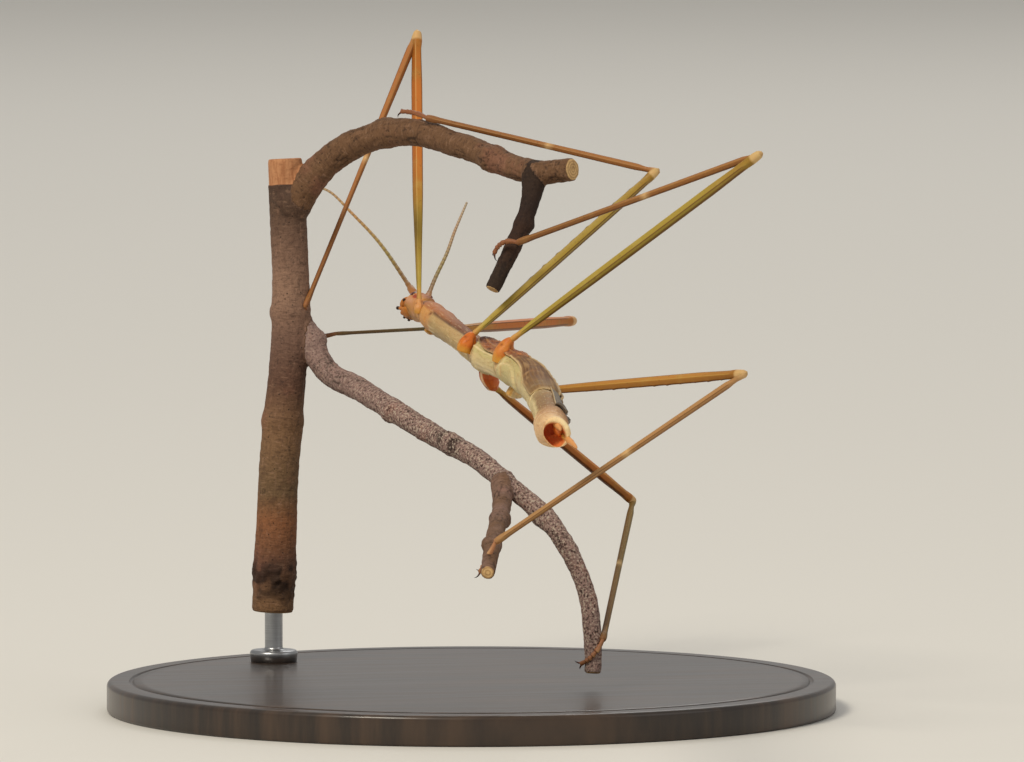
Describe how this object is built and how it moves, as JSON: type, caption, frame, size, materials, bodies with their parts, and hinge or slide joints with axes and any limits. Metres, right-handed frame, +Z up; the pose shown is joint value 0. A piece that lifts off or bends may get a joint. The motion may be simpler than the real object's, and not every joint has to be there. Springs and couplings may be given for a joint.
{
  "type": "stick insect",
  "caption": "Slender winged stick insect clinging to a forked cut twig, long thin legs spread wide and abdomen trailing behind, held on a round display base by a short rod.",
  "frame": {"origin": "centre of the round base's underside, where the stand rests", "axes": "+Y the way the insect heads, along its body; +Z up; +X to the right of one who looks along +Y"},
  "size_m": [0.072, 0.1507, 0.0658],
  "materials": {
    "cuticle": "waxy insect cuticle, satin, tan to olive and orange",
    "wing": "dull folded wing membrane with raised veins",
    "eye": "glossy dark red-brown compound eye",
    "bark": "rough dry bark with lichen specks",
    "base_lacquer": "dark lacquered wood, satin",
    "rod_steel": "brushed steel"
  },
  "bodies": {
    "root": {"abdomen_front": "cuticle", "abdomen_middle": "cuticle", "abdomen_rear": "cuticle", "anal_segment": "cuticle", "antenna_left": "cuticle", "antenna_right": "cuticle", "cercus_left": "cuticle", "cercus_right": "cuticle", "coxa_left_front": "cuticle", "coxa_left_hind": "cuticle", "coxa_left_middle": "cuticle", "coxa_right_front": "cuticle", "coxa_right_hind": "cuticle", "coxa_right_middle": "cuticle", "eye_left": "eye", "eye_right": "eye", "femur_left_front": "cuticle", "femur_left_hind": "cuticle", "femur_left_middle": "cuticle", "femur_right_front": "cuticle", "femur_right_hind": "cuticle", "femur_right_middle": "cuticle", "head": "cuticle", "hindwing_left": "wing", "hindwing_right": "wing", "median_segment": "cuticle", "mesothorax": "cuticle", "metathorax": "cuticle", "mouthparts": "cuticle", "perch_arm": "bark", "perch_branch": "bark", "perch_shoot": "bark", "perch_stem": "bark", "perch_twig": "bark", "prothorax": "cuticle", "stand_base": "base_lacquer", "stand_rod": "rod_steel", "tarsus_left_front": "cuticle", "tarsus_left_hind": "cuticle", "tarsus_left_middle": "cuticle", "tarsus_right_front": "cuticle", "tarsus_right_hind": "cuticle", "tarsus_right_middle": "cuticle", "tegmen_left": "wing", "tegmen_right": "wing", "tibia_left_front": "cuticle", "tibia_left_hind": "cuticle", "tibia_left_middle": "cuticle", "tibia_right_front": "cuticle", "tibia_right_hind": "cuticle", "tibia_right_middle": "cuticle"}
  },
  "joints": []
}
